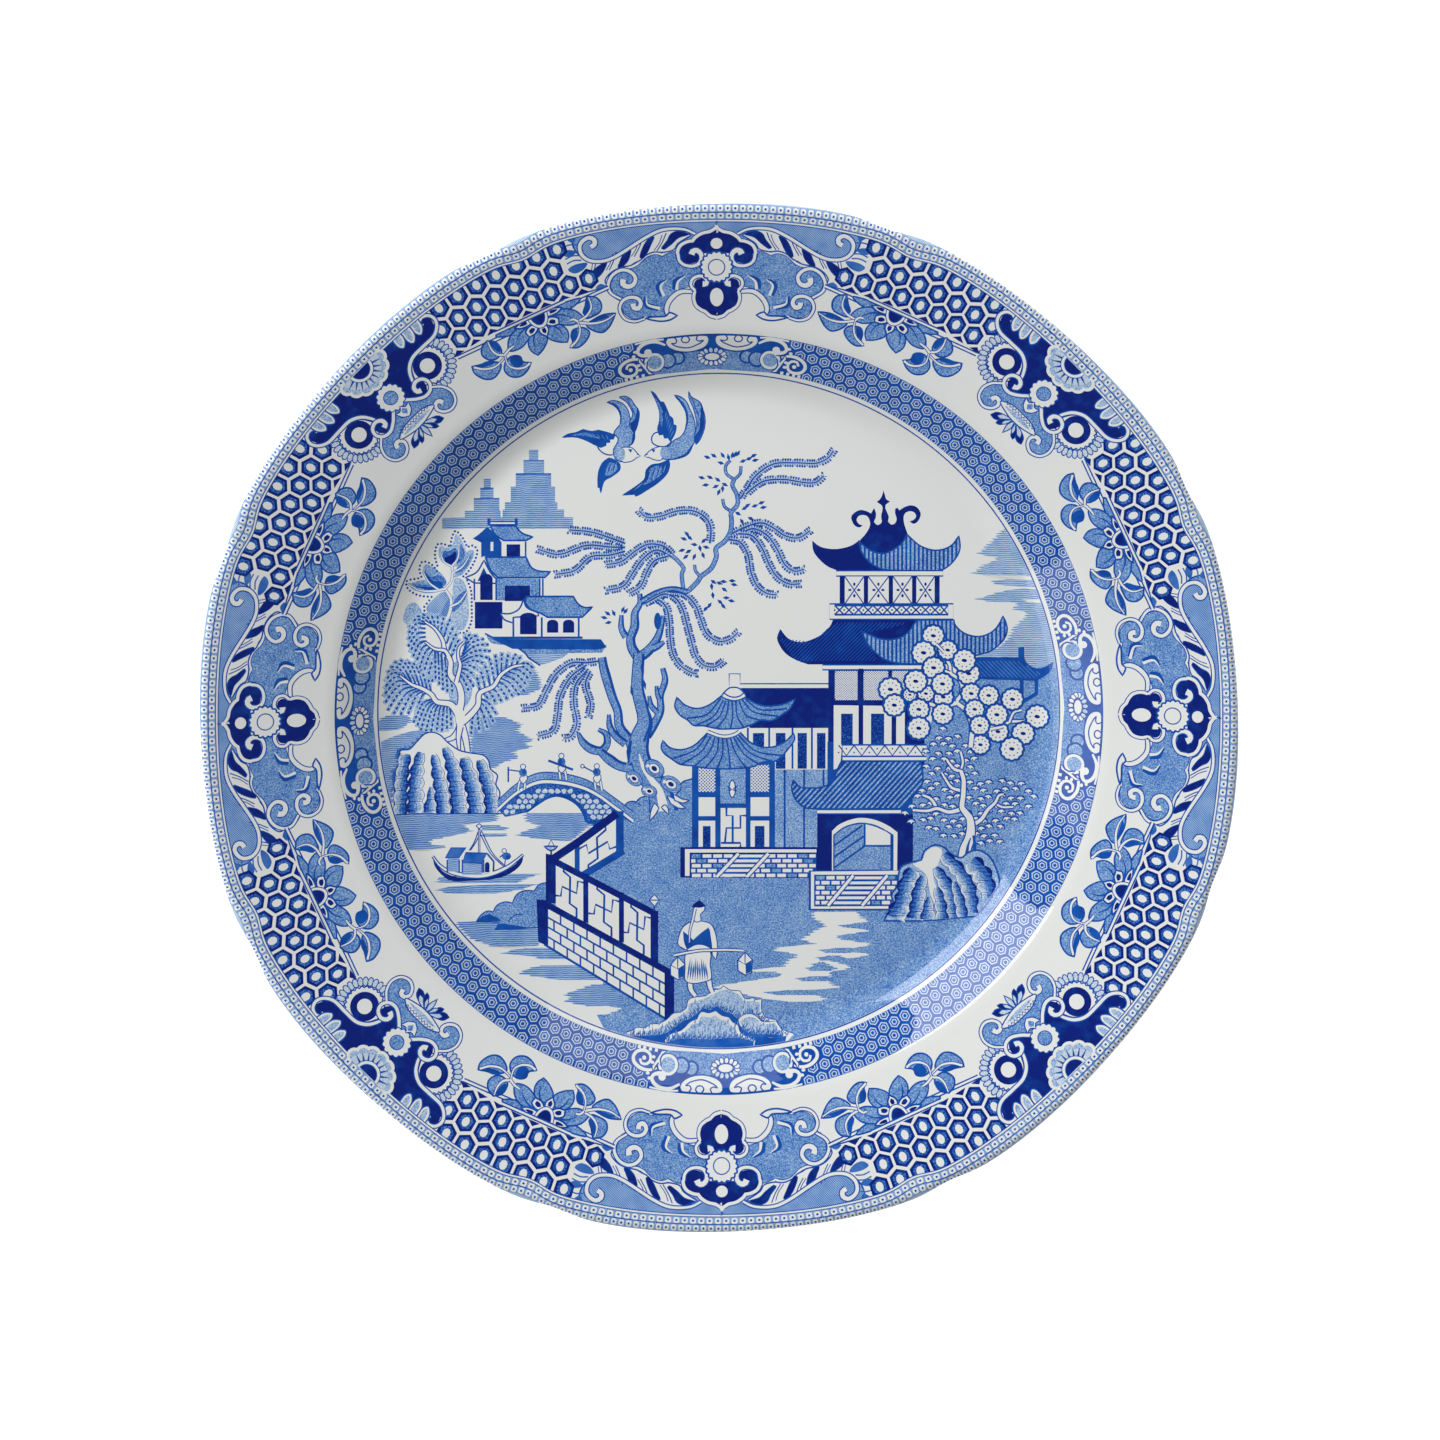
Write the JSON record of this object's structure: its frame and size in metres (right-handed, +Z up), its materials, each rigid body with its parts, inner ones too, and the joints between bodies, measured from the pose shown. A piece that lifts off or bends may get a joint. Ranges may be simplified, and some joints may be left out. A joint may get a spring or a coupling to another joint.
{
  "type": "dinner plate",
  "caption": "Rimmed china dinner plate with a softly shaped edge, a shallow well, a foot ring and a blue printed scene and borders sealed under clear glaze.",
  "frame": {"origin": "centre of the plane that the foot ring rests on", "axes": "+Z up through the plate's axis, from the foot ring to the face; +Y towards the top of the printed scene; +X to its right"},
  "size_m": [0.2658, 0.2658, 0.0255],
  "materials": {
    "biscuit": "unglazed fired clay, fine matt grain",
    "glaze": "clear gloss lead-free glaze over a slightly cool white body",
    "cobalt_print": "cobalt blue engraved print under gloss glaze"
  },
  "bodies": {
    "root": {"biscuit_body": "biscuit", "face_glaze": "glaze", "underside_glaze": "glaze", "recess_glaze": "glaze", "scene_transfer": "cobalt_print", "band_transfer_1": "cobalt_print", "band_transfer_2": "cobalt_print", "band_transfer_3": "cobalt_print", "band_transfer_4": "cobalt_print", "border_transfer_1": "cobalt_print", "border_transfer_2": "cobalt_print", "border_transfer_3": "cobalt_print", "border_transfer_4": "cobalt_print"}
  },
  "joints": []
}
